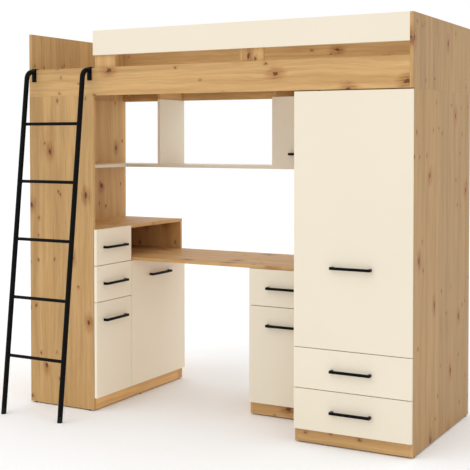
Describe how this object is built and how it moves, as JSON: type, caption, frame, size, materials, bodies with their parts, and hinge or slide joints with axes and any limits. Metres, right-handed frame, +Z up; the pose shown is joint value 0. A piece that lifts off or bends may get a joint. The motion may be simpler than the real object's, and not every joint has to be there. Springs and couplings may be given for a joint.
{
  "type": "loft bed with desk",
  "caption": "Loft bed over a desk: raised bed box on a drawer tower and a wardrobe, with pedestal, shelf with a flap, and a hook-on ladder.",
  "frame": {"origin": "middle of the footprint on the floor, the ladder's feet included", "axes": "+X along the bed from the ladder end to the wardrobe, +Y from the fronts to the wall, +Z up"},
  "size_m": [2.05, 1.0926, 1.888],
  "materials": {
    "oak": "matt oak-decor board with knots",
    "cream": "smooth cream melamine board",
    "white_board": "white melamine drawer board and hardboard",
    "pine": "bare planed pine",
    "black_metal": "black powder coat",
    "steel": "nickel or zinc plated",
    "black_plastic": "black nylon",
    "black_rubber": "black rubber"
  },
  "bodies": {
    "root": {"bed_end_left": "oak", "bed_end_right": "oak", "front_rail": "oak", "back_panel": "oak", "guard_panel": "cream", "guard_posts": "oak", "slat_ledges": "pine", "slats": "pine", "shelf_board": "cream", "shelf_dividers": "cream", "shelf_hangers": "oak", "tower_front_side": "oak", "tower_end_wall": "oak", "tower_back_side": "oak", "tower_top": "oak", "tower_inner_boards": "oak", "desk_top": "oak", "pedestal_carcass": "oak", "wardrobe_sides": "oak", "wardrobe_crossboards": "oak", "back_boards": "white_board", "clothes_rod": "steel", "glides": "black_plastic", "drawer_runners": "steel", "hinge_arms": "steel", "cam_locks": "steel"},
    "ladder": {"ladder_stiles": "black_metal", "ladder_rungs": "black_metal", "ladder_hooks": "black_metal", "ladder_feet": "black_rubber"},
    "tower_drawer_upper": {"tower_drawer_upper_front": "cream", "tower_drawer_upper_box": "white_board", "tower_drawer_upper_handle": "black_metal"},
    "tower_drawer_lower": {"tower_drawer_lower_front": "cream", "tower_drawer_lower_box": "white_board", "tower_drawer_lower_handle": "black_metal"},
    "pedestal_drawer": {"pedestal_drawer_front": "cream", "pedestal_drawer_box": "white_board", "pedestal_drawer_handle": "black_metal"},
    "wardrobe_drawer_upper": {"wardrobe_drawer_upper_front": "cream", "wardrobe_drawer_upper_box": "white_board", "wardrobe_drawer_upper_handle": "black_metal"},
    "wardrobe_drawer_lower": {"wardrobe_drawer_lower_front": "cream", "wardrobe_drawer_lower_box": "white_board", "wardrobe_drawer_lower_handle": "black_metal"},
    "tower_narrow_door": {"tower_narrow_door": "cream", "tower_narrow_door_cups": "steel", "tower_narrow_door_handle": "black_metal"},
    "tower_wide_door": {"tower_wide_door": "cream", "tower_wide_door_cups": "steel", "tower_wide_door_handle": "black_metal"},
    "pedestal_door": {"pedestal_door": "cream", "pedestal_door_cups": "steel", "pedestal_door_handle": "black_metal"},
    "wardrobe_door": {"wardrobe_door": "cream", "wardrobe_door_cups": "steel", "wardrobe_door_handle": "black_metal"},
    "shelf_flap": {"shelf_flap": "cream", "shelf_flap_cups": "steel", "shelf_flap_handle": "black_metal"}
  },
  "joints": [
    {"name": "ladder_lift", "type": "slide", "parent": "root", "child": "ladder", "axis": [0, 0, 1], "range_m": [0, 0.12]},
    {"name": "tower_drawer_upper_slide", "type": "slide", "parent": "root", "child": "tower_drawer_upper", "axis": [1, 0, 0], "range_m": [0, 0.26]},
    {"name": "tower_drawer_lower_slide", "type": "slide", "parent": "root", "child": "tower_drawer_lower", "axis": [1, 0, 0], "range_m": [0, 0.26]},
    {"name": "pedestal_drawer_slide", "type": "slide", "parent": "root", "child": "pedestal_drawer", "axis": [0, -1, 0], "range_m": [0, 0.33]},
    {"name": "wardrobe_drawer_upper_slide", "type": "slide", "parent": "root", "child": "wardrobe_drawer_upper", "axis": [0, -1, 0], "range_m": [0, 0.38]},
    {"name": "wardrobe_drawer_lower_slide", "type": "slide", "parent": "root", "child": "wardrobe_drawer_lower", "axis": [0, -1, 0], "range_m": [0, 0.38]},
    {"name": "tower_narrow_door_hinge", "type": "hinge", "parent": "root", "child": "tower_narrow_door", "pos_m": [-0.607, -0.28418, 0.168], "axis": [0, 0, -1], "range_deg": [0, 100]},
    {"name": "tower_wide_door_hinge", "type": "hinge", "parent": "root", "child": "tower_wide_door", "pos_m": [-0.607, 0.54482, 0.168], "axis": [0, 0, 1], "range_deg": [0, 95]},
    {"name": "pedestal_door_hinge", "type": "hinge", "parent": "root", "child": "pedestal_door", "pos_m": [0.0825, 0.02632, 0.168], "axis": [0, 0, -1], "range_deg": [0, 100]},
    {"name": "wardrobe_door_hinge", "type": "hinge", "parent": "root", "child": "wardrobe_door", "pos_m": [1.0235, -0.28568, 0.532], "axis": [0, 0, 1], "range_deg": [0, 100]},
    {"name": "shelf_flap_hinge", "type": "hinge", "parent": "root", "child": "shelf_flap", "pos_m": [0.2755, 0.27832, 1.5685], "axis": [-1, 0, 0], "range_deg": [0, 88]}
  ]
}
